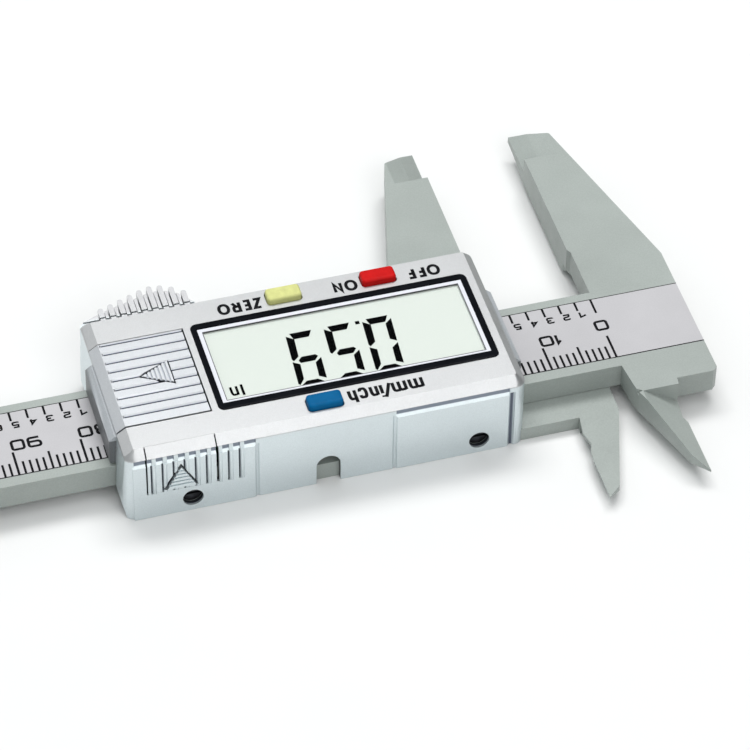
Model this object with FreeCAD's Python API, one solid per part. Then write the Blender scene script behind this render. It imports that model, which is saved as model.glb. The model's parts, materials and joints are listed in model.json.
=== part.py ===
import FreeCAD, Part
import math
import os

# Digital caliper, 150 mm class, plastic beam and jaws, shown with the jaws open.
# Modelling axes: X along the beam (0 at the fixed measuring face), Y towards the
# small inside jaws, Z out of the display face (0 on the printed face of the beam).
V = FreeCAD.Vector

# ---- main dimensions, millimetres -------------------------------------------------
OPENING = 15.7          # gap between the measuring faces at rest
SMALL_TIP_Y = 23.0      # tip of the moving small jaw

BEAM_X0 = -13.6         # jaw end of the beam
BEAM_X1 = 221.3         # free end of the beam
BEAM_Y0 = -14.2
BEAM_Y1 = 1.8
BEAM_T = 4.0            # beam thickness, back face at z = -4

LABEL_Y0 = -12.75
LABEL_Y1 = 0.0
LABEL_T = 0.15
STATOR_T = 0.4

JAW_RELIEF = 0.4        # clearance pocket beside the beam
JAW_FACE_Y = -24.0      # outside measuring face starts here
JAW_TIP_Y = -53.6
JAW_TIP_STEP_Y = -45.3
JAW_TIP_W = 5.53        # width of the jaw end
JAW_SIDE_SLOPE = 0.264  # taper of the outer side
JAW_T = 5.9             # thickness of an outside jaw at its root
JAW_ROOT_Y = -21.5      # the moving jaw is widest here, inside the head

HEAD_X0 = 16.3          # reading head, outer sizes
HEAD_X1 = 76.2
HEAD_Y0 = -22.2
HEAD_Y1 = 7.1
HEAD_Z0 = -6.4
HEAD_Z1 = 6.8
HEAD_CHAMFER = 1.3
BEVEL_FOOT_Z = HEAD_Z1 - HEAD_CHAMFER
END_LOW_X = 76.5        # the battery end's wall leans in, from here
END_TOP_X = 75.9        # to here at its upper edge
END_TOP_Z = 5.8
END_ROOF_X = 74.5       # and meets the roof here
HEAD_CORNER_JAW = 1.6   # radius of the upright corners at the jaw end
HEAD_CORNER_END = 2.3   # and at the battery end
WALL = 0.8
ROOF = 1.0
FIT = 0.05              # gap between the slider and the shell
PAD_RISE = 0.1          # raised panels on the near wall
PAD_TOP = 4.1
PAD_BEVEL = 0.45        # height of the sloping top edge of the panels
PAD_GROOVE = 0.26       # depth of the groove between the panels and the roof's bevel

COLLAR_OUT = 0.85       # collar round the beam, stands out of both head ends
COLLAR_Y0 = -13.6
COLLAR_Y1 = 1.4
COLLAR_Z1 = 5.45
COLLAR_ROOT_Z1 = 4.1    # lower inside the head, under the battery door's tongues

PLATE_Z1 = -4.1         # top of the slider's back plate
RAIL_Z1 = 0.25          # top of the slider's rails, the circuit board lies on them
FAR_RAIL_Y = -14.28
NEAR_RAIL_Y = 2.45

PCB_T = 0.8
PCB_Z0 = RAIL_Z1
PCB_Z1 = PCB_Z0 + PCB_T
ROOF_Z0 = HEAD_Z1 - ROOF

BEZEL = (18.7, 60.8, -16.5, 1.7)        # x0, x1, y0, y1 outside
WINDOW = (19.7, 59.92, -15.15, 0.4)     # opening in the bezel
BEZEL_Z0 = 4.5
BEZEL_Z1 = 7.0
WINDOW_Z0 = 6.65
WINDOW_Z1 = 6.9
LCD_Z0 = 5.3            # two bonded glass plates, the rear one is longer
LCD_MID_Z = 5.95
LCD_Z1 = 6.6

BUTTON_L = 5.2
BUTTON_W = 2.6
BUTTON_TOP = 7.8
BUTTONS = {
    "button_red": (31.4, -18.85),
    "button_yellow": (45.85, -18.85),
    "button_blue": (45.85, 3.95),
}

DOOR = (62.0, HEAD_X1, -16.1, 1.1)      # battery door: x0, x1, y0, y1
DOOR_GAP = (0.22, 0.1, 0.3)             # gap round it: at x0, at y0 and at y1
DOOR_Z0 = 5.9
DOOR_LIP_Z0 = 5.53
DOOR_LIP_GAP = 0.12
GROOVES = 9                             # grip grooves across the door
GROOVE_Y0 = -15.8
GROOVE_PITCH = 1.866
GROOVE_HALF_W = 0.34
GROOVE_DEPTH = 0.42
GROOVE_X1 = 74.4
DOOR_ARROW = (65.6, 69.9, -8.15, 2.25)  # raised arrow: base x, tip x, middle y, half width

PADS = ((18.7, 36.2), (56.7, 75.0))     # raised panels on the near wall, along X
FLUTES = ((18.5, 0.5), (36.2, 0.36), (56.7, 0.36))      # upright flutes at their ends: x, radius
NOTCH = (46.1, 1.82, -2.95)             # arched notch in the near wall: x, radius, centre z
PORT = (62.75, 72.85)                   # data port door, along X
PORT_GAP = (0.36, 0.25)                 # slits beside it, at x0 and at x1
PORT_GAP_BEVEL = 0.2                    # the slits are narrower across the bevel
PORT_FIT = 0.03                         # gap along its upper and lower edges
PORT_Z0 = -1.6
PORT_LEDGE_Y = 5.8
RIB_X0 = 59.35                          # nine ribs, the first three beside the door
RIB_PITCH = 1.62
RIB_Z0 = -1.8
RIB_Z1 = 5.6
RIB_R = 0.3
SLOT_W = 0.26                           # dark slot along each rib
SLOT_DEPTH = 0.4
ARROW_X = 67.95                         # arrow on the port door, in its pocket

CELL_R = 5.8
CELL_H = 5.4
CELL_Z0 = 0.42
CELL_POS = (68.0, -7.65)

GIB_SCREWS_X = (23.35, 66.3)
GIB_SCREW_Z = -3.95
GIB_HOLE_R = 1.53
HUMP_SLOT_Z = 4.3       # bottom of the narrow slots between the ribs of the thumb rest
CASE_SCREWS = ((23.5, -18.9), (71.5, -18.9), (37.0, 4.45), (56.3, 4.45))
BOSS_R = 1.5            # bosses of the shell that take the case screws

ROD_Y = -6.3
ROD_W = 3.0
ROD_T = 1.1
ROD_X0 = 26.0
ROD_X1 = BEAM_X1 + OPENING
ROD_SCREW_X = 30.0
GROOVE_W = 3.4
GROOVE_D = 1.4

STOP_X0 = 213.0
STOP_X1 = 220.0
STOP_SCREWS = ((216.5, -11.6), (216.5, -1.2))

SHANK_R = 0.78          # the small screws, their tapped and their clearance holes
TAPPED_R = 0.8
CLEAR_R = 0.85
SCREW_HEAD_R = 1.5
HEAD_POCKET_R = 1.65
DRIVE_W = 0.4           # width of the screwdriver slots

# Row frame: origin under the middle of the bounding box.
SHIFT = V(-(BEAM_X0 + ROD_X1) / 2.0, -(JAW_TIP_Y + SMALL_TIP_Y) / 2.0, -HEAD_Z0)


# ---- helpers ----------------------------------------------------------------------
def box(x0, x1, y0, y1, z0, z1):
    return Part.makeBox(x1 - x0, y1 - y0, z1 - z0, V(x0, y0, z0))


def prism_xy(points, z0, z1):
    wire = Part.makePolygon([V(x, y, z0) for x, y in points] + [V(points[0][0], points[0][1], z0)])
    return Part.Face(wire).extrude(V(0, 0, z1 - z0))


def prism_xz(points, y0, y1):
    wire = Part.makePolygon([V(x, y0, z) for x, z in points] + [V(points[0][0], y0, points[0][1])])
    return Part.Face(wire).extrude(V(0, y1 - y0, 0))


def prism_yz(points, x0, x1):
    wire = Part.makePolygon([V(x0, y, z) for y, z in points] + [V(x0, points[0][0], points[0][1])])
    return Part.Face(wire).extrude(V(x1 - x0, 0, 0))


def rod_z(x, y, r, z0, z1):
    return Part.makeCylinder(r, z1 - z0, V(x, y, z0), V(0, 0, 1))


def rod_y(x, z, r, y0, y1):
    return Part.makeCylinder(r, y1 - y0, V(x, y0, z), V(0, 1, 0))


def rounded_box(x0, x1, y0, y1, z0, z1, r):
    """Block with its four upright edges rounded."""
    solid = box(x0, x1, y0, y1, z0, z1)
    edges = [e for e in solid.Edges if abs(e.tangentAt(e.FirstParameter).z) > 0.99]
    return solid.makeFillet(r, edges)


def cross_slot(x, y, z0, z1):
    """Cross recess for a screwdriver."""
    half, reach = DRIVE_W / 2.0, 1.0
    return fuse([box(x - reach, x + reach, y - half, y + half, z0, z1),
                 box(x - half, x + half, y - reach, y + reach, z0, z1)])


def edges_at_z(solid, z, tol=1e-4):
    return [e for e in solid.Edges if abs(e.BoundBox.ZMin - z) < tol and abs(e.BoundBox.ZMax - z) < tol]


def fuse(shapes):
    shapes = list(shapes)
    result = shapes[0]
    if len(shapes) > 1:
        result = result.multiFuse(shapes[1:])
    return result.removeSplitter()


def export(name, shape):
    moved = shape.copy()
    moved.translate(SHIFT)
    moved.exportStep(os.path.join("parts", name + ".step"))
    box_ = moved.BoundBox
    print("%-18s solids %2d valid %s  x %8.2f %8.2f  y %7.2f %7.2f  z %6.2f %6.2f" % (
        name, len(moved.Solids), moved.isValid(),
        box_.XMin, box_.XMax, box_.YMin, box_.YMax, box_.ZMin, box_.ZMax))


# ---- outside and inside jaws ------------------------------------------------------
def jaw_side(y):
    """Distance of a jaw's tapered outer side from its measuring face."""
    return 10.85 + JAW_SIDE_SLOPE * (y + 30.0)


def outer_jaw(root_y, root_width):
    """Outside jaw with its measuring face at x = 0, lying on the -X side."""
    plan = [
        (-JAW_RELIEF, root_y),
        (-JAW_RELIEF, JAW_FACE_Y + 0.7),
        (0.0, JAW_FACE_Y),
        (0.0, JAW_TIP_Y),
        (-JAW_TIP_W, -50.1),
        (-root_width, -30.0 + (root_width - 10.85) / JAW_SIDE_SLOPE),
        (-root_width, root_y),
    ]
    blade = prism_xy(plan, -BEAM_T, 0.0)
    # thicker back of the jaw, thinning towards the tip
    pad_plan = [
        (0.0, -25.4),
        (0.0, JAW_TIP_Y),
        (-JAW_TIP_W, -50.1),
        (-jaw_side(-22.6), -22.6),
        (-JAW_RELIEF, -22.6),
        (-JAW_RELIEF, -24.6),
    ]
    pad = prism_xy(pad_plan, -JAW_T, -BEAM_T + 1.0)
    side_view = prism_yz([(-22.6, -BEAM_T + 1.0), (-22.6, -BEAM_T), (-26.0, -JAW_T), (-46.0, -5.0),
                          (-50.0, -3.9), (-54.0, -3.55), (-54.0, -3.0)], -20.0, 5.0)
    thin_tip = prism_yz([(-50.2, -BEAM_T - 1.0), (-50.2, -3.88), (-54.0, -3.55), (-54.0, -BEAM_T - 1.0)],
                        -20.0, 5.0)
    jaw = fuse([blade, pad.common(side_view)]).cut(thin_tip)
    # knife-shaped tip: two facets fall to a narrow land at the measuring face
    tip_front = prism_xz(
        [(0.1, -2.65), (-2.5, -1.1), (-5.3, 0.0), (-5.3, 1.0), (0.1, 1.0)], -60.0, JAW_TIP_STEP_Y)
    return jaw.cut(tip_front)


def fixed_inner_jaw():
    plan = [
        (BEAM_X0, 1.0),
        (BEAM_X0, 5.7),
        (-12.9, 6.4),
        (-7.17, 6.4),
        (-6.6, 11.3),
        (-7.17, 12.2),
        (-7.17, 22.3),
        (-4.98, 19.9),
        (-0.86, 7.65),
        (-0.55, 5.9),
        (-0.15, 1.8),
        (-0.15, 1.0),
    ]
    blade = prism_xy(plan, -BEAM_T, 0.0)
    bevel = prism_xz([(-7.3, -3.75), (-7.3, 1.0), (0.5, 1.0), (-1.5, 0.0)], 7.6, 30.0)
    shoulder = prism_xy([(-1.5, 7.6), (0.0, 6.3), (0.5, 8.0)], -0.7, 0.5)
    return blade.cut(bevel).cut(shoulder)


def moving_inner_jaw():
    """Thin jaw behind the beam, with the arm that carries it; x from the fixed face."""
    plan = [
        (1.55, 1.6),
        (1.65, 6.6),
        (6.4, 21.2),
        (8.47, SMALL_TIP_Y),
        (8.47, 15.5),
        (8.25, 13.6),
        (7.75, 12.1),
        (8.25, 9.7),
        (7.75, 6.6),
        (18.0, 6.6),
        (18.0, 1.6),
    ]
    blade = prism_xy(plan, HEAD_Z0, PLATE_Z1)
    bevel = prism_xz([(8.6, -4.35), (3.4, HEAD_Z0), (3.4, -8.0), (8.6, -8.0)], 7.6, 30.0)
    return blade.cut(bevel)


# ---- fixed body: beam, printed scale, stator, stop ---------------------------------
def make_beam():
    bar = box(BEAM_X0, BEAM_X1, BEAM_Y0, BEAM_Y1, -BEAM_T, 0.0)
    beam = fuse([bar, outer_jaw(BEAM_Y0 + 0.5, -BEAM_X0), fixed_inner_jaw()])
    recess = box(BEAM_X0 - 1.0, BEAM_X1 - 4.0, LABEL_Y0 - 0.05, LABEL_Y1 + 0.05,
                 -LABEL_T - STATOR_T, 1.0)
    recess = recess.cut(box(BEAM_X0 - 2.0, -6.0, LABEL_Y0 - 1.0, LABEL_Y1 + 1.0, -1.0, -LABEL_T))
    groove = box(6.0, BEAM_X1 + 1.0, ROD_Y - GROOVE_W / 2.0, ROD_Y + GROOVE_W / 2.0,
                 -BEAM_T - 1.0, -BEAM_T + GROOVE_D)
    beam = beam.cut(recess).cut(groove)
    for x, y in STOP_SCREWS:
        beam = beam.cut(rod_z(x, y, TAPPED_R, -BEAM_T - 1.0, -2.0))
    return beam


def make_label():
    return box(BEAM_X0, BEAM_X1 - 4.05, LABEL_Y0, LABEL_Y1, -LABEL_T, 0.0)


def make_stator():
    return box(-5.9, BEAM_X1 - 4.1, LABEL_Y0, LABEL_Y1, -LABEL_T - STATOR_T, -LABEL_T)


def make_end_stop():
    plate = box(STOP_X0, STOP_X1, -13.4, 1.0, -5.0, -BEAM_T)
    plate = plate.makeChamfer(0.4, edges_at_z(plate, -5.0))
    for x, y in STOP_SCREWS:
        plate = plate.cut(rod_z(x, y, CLEAR_R, -6.0, -3.0))
    return plate


def make_stop_screws():
    screws = []
    for x, y in STOP_SCREWS:
        head = rod_z(x, y, SCREW_HEAD_R, -5.7, -5.0)
        shank = rod_z(x, y, SHANK_R, -5.0, -2.1)
        screws.append(fuse([head, shank]).cut(cross_slot(x, y, -5.8, -5.4)))
    return Part.makeCompound(screws)


# ---- reading head: slider ----------------------------------------------------------
def make_collar(end_x, side):
    """Bevelled collar over the beam's printed face, with the bridge that carries it."""
    tip_x = end_x + side * COLLAR_OUT
    inner_x = end_x - side * (WALL + FIT)
    root_x = inner_x - side * COLLAR_OUT
    bevel = COLLAR_OUT * 0.9
    profile = [
        (root_x, RAIL_Z1),
        (tip_x, RAIL_Z1),
        (tip_x, COLLAR_Z1 - bevel),
        (end_x, COLLAR_Z1),
        (inner_x, COLLAR_Z1),
        (inner_x, COLLAR_ROOT_Z1),
        (root_x, COLLAR_ROOT_Z1),
    ]
    block = prism_xz(profile, COLLAR_Y0, COLLAR_Y1)
    bridge = box(min(root_x, inner_x), max(root_x, inner_x), -18.0, 5.0, RAIL_Z1, 3.0)
    rail_tie = box(min(root_x, inner_x), max(root_x, inner_x), -18.0, FAR_RAIL_Y, RAIL_Z1 - 0.5, RAIL_Z1)
    return fuse([block, bridge, rail_tie])


def make_slider():
    x0 = HEAD_X0 + WALL + FIT
    x1 = HEAD_X1 - WALL - FIT
    y0 = HEAD_Y0 + WALL + FIT
    y1 = HEAD_Y1 - WALL - FIT
    plate = box(x0, x1, y0, y1, HEAD_Z0, PLATE_Z1)
    far_rail = box(x0, x1, y0, FAR_RAIL_Y, PLATE_Z1, RAIL_Z1)
    near_rail = box(x0, x1, NEAR_RAIL_Y, y1, PLATE_Z1, RAIL_Z1)
    collars = [make_collar(HEAD_X1, 1.0), make_collar(HEAD_X0, -1.0)]
    jaw = outer_jaw(FAR_RAIL_Y, jaw_side(JAW_ROOT_Y)).mirror(V(0, 0, 0), V(1, 0, 0))
    jaw.translate(V(OPENING, 0, 0))
    root = prism_xy([
        (OPENING + JAW_RELIEF, FAR_RAIL_Y),
        (OPENING + JAW_RELIEF, JAW_FACE_Y + 0.7),
        (OPENING, JAW_FACE_Y),
        (OPENING, -28.0),
        (OPENING + jaw_side(-28.0), -28.0),
        (OPENING + jaw_side(JAW_ROOT_Y), JAW_ROOT_Y),
        (OPENING + jaw_side(JAW_ROOT_Y), FAR_RAIL_Y)], HEAD_Z0, -BEAM_T)
    step = prism_yz([(-25.0, HEAD_Z0), (-28.0, -JAW_T + 0.1), (-29.0, -7.0), (-25.0, -7.0)], 0.0, 60.0)
    root = root.cut(step)
    slider = fuse([plate, far_rail, near_rail, jaw, root, moving_inner_jaw()] + collars)
    # set-screw holes through the near rail
    for x in GIB_SCREWS_X:
        slider = slider.cut(rod_y(x, GIB_SCREW_Z, GIB_HOLE_R + 0.05, NEAR_RAIL_Y - 0.2, y1 + 1.0))
    # hollow behind the arched notch
    notch_x, notch_r, notch_z = NOTCH
    slider = slider.cut(box(notch_x - notch_r, notch_x + notch_r, 4.0, y1 + 1.0, notch_z - 0.5, -0.8))
    # case-screw holes with countersunk pockets in the back
    for x, y in CASE_SCREWS:
        slider = slider.cut(rod_z(x, y, CLEAR_R, HEAD_Z0 - 1.0, RAIL_Z1 + 1.0))
        slider = slider.cut(rod_z(x, y, HEAD_POCKET_R, HEAD_Z0 - 1.0, -5.0))
    # depth-rod screw and the shallow field of the rear label
    slider = slider.cut(rod_z(ROD_SCREW_X, ROD_Y, CLEAR_R, HEAD_Z0 - 1.0, PLATE_Z1 + 1.0))
    slider = slider.cut(rod_z(ROD_SCREW_X, ROD_Y, HEAD_POCKET_R, HEAD_Z0 - 1.0, -5.3))
    slider = slider.cut(box(20.5, 72.0, -14.05, 1.05, HEAD_Z0 - 1.0, HEAD_Z0 + 0.2))
    return slider


def make_gib():
    strip = box(18.2, 74.8, BEAM_Y1 + 0.06, NEAR_RAIL_Y - 0.03, PLATE_Z1 + 0.15, -0.3)
    edges = [e for e in strip.Edges if abs(e.tangentAt(e.FirstParameter).y) > 0.99]
    return strip.makeFillet(0.8, edges)


def make_gib_screws():
    screws = []
    y1 = HEAD_Y1 - WALL - FIT - 0.01
    for x in GIB_SCREWS_X:
        screw = rod_y(x, GIB_SCREW_Z, GIB_HOLE_R - 0.02, NEAR_RAIL_Y - 0.02, y1)
        screw = screw.cut(box(x - 1.5, x + 1.5, y1 - 0.7, y1 + 1.0, GIB_SCREW_Z - 0.2, GIB_SCREW_Z + 0.2))
        screws.append(screw)
    return Part.makeCompound(screws)


# ---- reading head: outer shell and doors -------------------------------------------
def end_trim():
    """What lies outside the leaning wall and the roof bevel of the battery end."""
    far_x = END_LOW_X + 2.0
    return prism_xz([
        (END_ROOF_X, HEAD_Z1),
        (END_TOP_X, END_TOP_Z),
        (END_LOW_X, HEAD_Z0 + 2.6),
        (END_LOW_X - 0.6, HEAD_Z0 - 0.1),
        (far_x, HEAD_Z0 - 0.1),
        (far_x, HEAD_Z1 + 1.0),
        (END_ROOF_X, HEAD_Z1 + 1.0),
    ], -40.0, 40.0)


def shell_outside():
    solid = box(HEAD_X0, END_LOW_X, HEAD_Y0, HEAD_Y1, HEAD_Z0, HEAD_Z1)
    uprights = [e for e in solid.Edges if abs(e.tangentAt(e.FirstParameter).z) > 0.99]
    solid = solid.makeFillet(HEAD_CORNER_JAW, [e for e in uprights if e.BoundBox.XMax < 40.0])
    uprights = [e for e in solid.Edges if e.BoundBox.XMin > END_LOW_X - 0.01
                and abs(e.tangentAt(e.FirstParameter).z) > 0.99]
    solid = solid.makeFillet(HEAD_CORNER_END, uprights)
    solid = solid.makeChamfer(HEAD_CHAMFER, edges_at_z(solid, HEAD_Z1))
    return solid.cut(end_trim())


def side_pad(x0, x1):
    """Slightly raised panel on the near wall, up to the groove under the roof edge."""
    y = HEAD_Y1
    return prism_yz([
        (y - 0.3, HEAD_Z0),
        (y + PAD_RISE, HEAD_Z0),
        (y + PAD_RISE, PAD_TOP),
        (y - PAD_GROOVE, PAD_TOP + PAD_BEVEL),
        (y - 0.3, PAD_TOP + PAD_BEVEL),
    ], x0, x1)


def pad_groove(x0, x1):
    """Groove between a raised panel and the bevel of the roof."""
    y = HEAD_Y1
    return prism_yz([
        (y + 1.0, PAD_TOP),
        (y + PAD_RISE, PAD_TOP),
        (y - PAD_GROOVE, PAD_TOP + PAD_BEVEL),
        (y - PAD_GROOVE, BEVEL_FOOT_Z - 0.25),
        (y + 0.02, BEVEL_FOOT_Z),
        (y + 1.0, BEVEL_FOOT_Z),
    ], x0, x1)


def rib_x(i):
    """Place of a rib's slot along X."""
    return RIB_X0 + RIB_PITCH * i


def wall_rib(i, z0):
    """Half-round upright rib on the near wall, beside its slot."""
    x = rib_x(i) - RIB_R - SLOT_W / 2.0
    rib = rod_z(x, HEAD_Y1 + PAD_RISE - 0.1, RIB_R, z0, PAD_TOP + 0.2)
    head = prism_yz([(HEAD_Y1 - 0.6, PAD_TOP - 0.2), (HEAD_Y1 + 0.2, PAD_TOP - 0.2),
                     (HEAD_Y1 + 0.2, PAD_TOP), (HEAD_Y1 - 0.1, RIB_Z1), (HEAD_Y1 - 0.6, RIB_Z1)],
                    x - RIB_R, x + RIB_R)
    return fuse([rib, head])


def rib_slot(i, z0):
    x = rib_x(i)
    return box(x - SLOT_W / 2.0, x + SLOT_W / 2.0, HEAD_Y1 + PAD_RISE - SLOT_DEPTH, HEAD_Y1 + 1.0,
               z0, PAD_TOP + 0.1)


def thumb_hump():
    """Ribbed thumb rest on the far side of the battery end."""
    outline = [
        (57.4, -21.9), (58.6, -23.2), (60.2, -25.3), (61.6, -26.2), (63.4, -26.6),
        (65.4, -26.3), (67.4, -25.6), (69.4, -25.1), (71.6, -24.4), (73.4, -23.7),
        (75.4, -22.8), (75.9, -21.9),
    ]
    hump = prism_xy(outline, -3.2, 5.1)
    tips = (-25.4, -26.6, -27.3, -27.5, -27.1, -26.5, -25.9, -25.3, -24.8)
    ribs = []
    slots = [box(57.8, 76.0, -22.9, -22.6, HUMP_SLOT_Z, 6.0)]
    for i, tip in enumerate(tips):
        x = 59.5 + 1.59 * i
        bar = box(x - 0.4, x + 0.4, tip, -22.0, -3.2, 5.45)
        round_edges = [e for e in bar.Edges if abs(e.BoundBox.YMin - tip) < 1e-4
                       and abs(e.BoundBox.YMax - tip) < 1e-4
                       and abs(e.tangentAt(e.FirstParameter).z) > 0.99]
        ribs.append(bar.makeFillet(0.38, round_edges))
        slots += [box(x + side * 0.48 - 0.08, x + side * 0.48 + 0.08, tip - 1.0, -22.0, HUMP_SLOT_Z, 6.0)
                  for side in (-1.0, 1.0)]
    hump = fuse([hump] + ribs)
    for slot in slots:
        hump = hump.cut(slot)
    return hump


def door_opening():
    """Space left for the battery door in the shell."""
    x0, x1, y0, y1 = DOOR
    gap_x, gap_y0, gap_y1 = DOOR_GAP
    top = box(x0 - gap_x, x1 + 1.0, y0 - gap_y0, y1 + gap_y1, ROOF_Z0 - 0.3, HEAD_Z1 + 1.0)
    lip = box(HEAD_X1 - WALL - 0.15, x1 + 1.0, y0 - gap_y0, y1 + gap_y1,
              DOOR_LIP_Z0 - DOOR_LIP_GAP, HEAD_Z1 + 1.0)
    return fuse([top, lip])


def port_opening():
    """Space left for the data port door; its slits widen below the bevel."""
    x0, x1 = PORT
    z0 = PORT_Z0 - PORT_FIT
    upper = box(x0 - PORT_GAP_BEVEL, x1 + PORT_GAP_BEVEL, PORT_LEDGE_Y - PORT_FIT, HEAD_Y1 + 2.0,
                z0, HEAD_Z1 + 1.0)
    lower = box(x0 - PORT_GAP[0], x1 + PORT_GAP[1], PORT_LEDGE_Y - PORT_FIT, HEAD_Y1 + 2.0,
                z0, PAD_TOP + 1.2)
    return fuse([upper, lower])


def make_front_cover():
    outside = shell_outside()
    cavity = box(HEAD_X0 + WALL, HEAD_X1 - WALL, HEAD_Y0 + WALL, HEAD_Y1 - WALL, HEAD_Z0 - 1.0, ROOF_Z0)
    cover = fuse([outside, thumb_hump()] + [side_pad(x0, x1) for x0, x1 in PADS])
    for x0, x1 in PADS:
        cover = cover.cut(pad_groove(x0 + 0.2, x1 - 0.2))
    for x, radius in FLUTES:
        cover = cover.cut(rod_z(x, HEAD_Y1 + 0.2, radius, HEAD_Z0 - 1.0, PAD_TOP + 0.4))
    cover = fuse([cover] + [wall_rib(i, RIB_Z0) for i in range(3)]).cut(cavity)
    for i in range(2):
        cover = cover.cut(rib_slot(i, RIB_Z0))
    # beam and collar passage through both ends
    cover = cover.cut(box(HEAD_X0 - 1.0, HEAD_X1 + 1.0, -14.6, 2.1, HEAD_Z0 - 1.0, 0.32))
    cover = cover.cut(box(HEAD_X0 - 1.0, HEAD_X1 + 1.0, COLLAR_Y0 - 0.03, COLLAR_Y1 + 0.03,
                          HEAD_Z0 - 1.0, COLLAR_Z1 + 0.03))
    # room for the jaw roots and the arm of the small jaw
    cover = cover.cut(box(HEAD_X0 - 1.0, OPENING + jaw_side(JAW_ROOT_Y) + 0.1, HEAD_Y0 - 1.0, -14.0,
                          HEAD_Z0 - 1.0, 0.02))
    cover = cover.cut(box(HEAD_X0 - 1.0, HEAD_X0 + 2.0, 1.0, 6.65, HEAD_Z0 - 1.0, PLATE_Z1 + 0.02))
    # display, buttons, doors
    x0, x1, y0, y1 = BEZEL
    cover = cover.cut(rounded_box(x0, x1, y0, y1, 3.0, HEAD_Z1 + 1.0, 1.0))
    for x, y in BUTTONS.values():
        cover = cover.cut(rounded_box(x - BUTTON_L / 2.0 - 0.12, x + BUTTON_L / 2.0 + 0.12,
                                      y - BUTTON_W / 2.0 - 0.12, y + BUTTON_W / 2.0 + 0.12,
                                      3.0, HEAD_Z1 + 1.0, 0.6))
    cover = cover.cut(door_opening())
    cover = cover.cut(port_opening())
    # gib-screw holes, and the arched notch in the near wall
    for x in GIB_SCREWS_X:
        cover = cover.cut(rod_y(x, GIB_SCREW_Z, GIB_HOLE_R, 5.0, 9.0))
    notch_x, notch_r, notch_z = NOTCH
    cover = cover.cut(rod_y(notch_x, notch_z, notch_r, 5.0, 9.0))
    cover = cover.cut(box(notch_x - notch_r, notch_x + notch_r, 5.0, 9.0, HEAD_Z0 - 1.0, notch_z))
    # guide ledges under the battery door
    ledges = [
        box(DOOR[0] - 0.1, HEAD_X1 - WALL, -17.6, -17.15, 4.2, ROOF_Z0),
        box(DOOR[0] - 0.1, HEAD_X1 - WALL, -17.2, -15.7, 4.2, 4.75),
        box(DOOR[0] - 0.1, HEAD_X1 - WALL, 1.95, 2.4, 4.2, ROOF_Z0),
        box(DOOR[0] - 0.1, HEAD_X1 - WALL, 0.4, 2.0, 4.2, 4.75),
    ]
    # bosses that take the case screws
    bosses = [rod_z(x, y, BOSS_R, PCB_Z0, ROOF_Z0) for x, y in CASE_SCREWS]
    cover = fuse([cover] + ledges + bosses)
    for x, y in CASE_SCREWS:
        cover = cover.cut(rod_z(x, y, TAPPED_R, 0.0, 3.6))
    return cover


def door_groove(y):
    """Grip groove, open at the display side and running out in a ramp at the other."""
    z1 = HEAD_Z1
    x0 = DOOR[0] - 1.0
    section = [(y - GROOVE_HALF_W, z1 + 0.01), (y, z1 - GROOVE_DEPTH), (y + GROOVE_HALF_W, z1 + 0.01)]
    side_view = [
        (x0, z1 + 0.1),
        (GROOVE_X1, z1 + 0.1),
        (GROOVE_X1, z1),
        (GROOVE_X1 - 0.5, z1 - GROOVE_DEPTH),
        (x0, z1 - GROOVE_DEPTH),
    ]
    return prism_yz(section, x0, GROOVE_X1).common(prism_xz(side_view, y - 1.0, y + 1.0))


def make_battery_door():
    x0, x1, y0, y1 = DOOR
    plate = box(x0, x1, y0, y1, DOOR_Z0, HEAD_Z1)
    lip = box(HEAD_X1 - WALL, x1, y0, y1, DOOR_LIP_Z0, HEAD_Z1)
    door = fuse([plate, lip]).cut(end_trim())
    # side tongues that run under the roof
    for side, y in ((-1.0, y0), (1.0, y1)):
        inner, outer = sorted((y - side * 0.6, y + side * 0.6))
        foot = box(x0 + 0.3, x0 + 3.5, min(y, y - side * 0.6), max(y, y - side * 0.6), 4.95, DOOR_Z0)
        tongue = box(x0 + 0.3, x0 + 3.5, inner, outer, 4.95, 5.45)
        door = fuse([door, foot, tongue])
    for i in range(GROOVES):
        door = door.cut(door_groove(GROOVE_Y0 + i * GROOVE_PITCH))
    # pocket with the raised, ribbed arrow in it
    base_x, tip_x, mid_y, half = DOOR_ARROW
    pocket = prism_xy([(base_x - 0.2, mid_y - half - 0.1), (tip_x + 0.75, mid_y - 0.05),
                       (base_x - 0.2, mid_y + half + 0.5)], HEAD_Z1 - 0.5, HEAD_Z1 + 1.0)
    arrow = prism_xy([(base_x, mid_y - half), (tip_x, mid_y), (base_x, mid_y + half)],
                     HEAD_Z1 - 0.6, HEAD_Z1)
    door = fuse([door.cut(pocket), arrow])
    over_arrow = prism_xy([(base_x, mid_y - half), (tip_x, mid_y), (base_x, mid_y + half)], 0.0, 9.0)
    for i in range(6):
        x = base_x + 0.35 + 0.6 * i
        rill = box(x, x + 0.25, mid_y - 3.0, mid_y + 3.0, HEAD_Z1 - 0.22, HEAD_Z1 + 1.0)
        door = door.cut(rill.common(over_arrow))
    return door


def wall_triangle(left, right, z0, z1, y0, y1):
    """Triangular prism on the near wall, its point at the top."""
    outline = [V(ARROW_X + left, y0, z0), V(ARROW_X + right, y0, z0), V(ARROW_X, y0, z1)]
    return Part.Face(Part.makePolygon(outline + outline[:1])).extrude(V(0, y1 - y0, 0))


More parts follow.
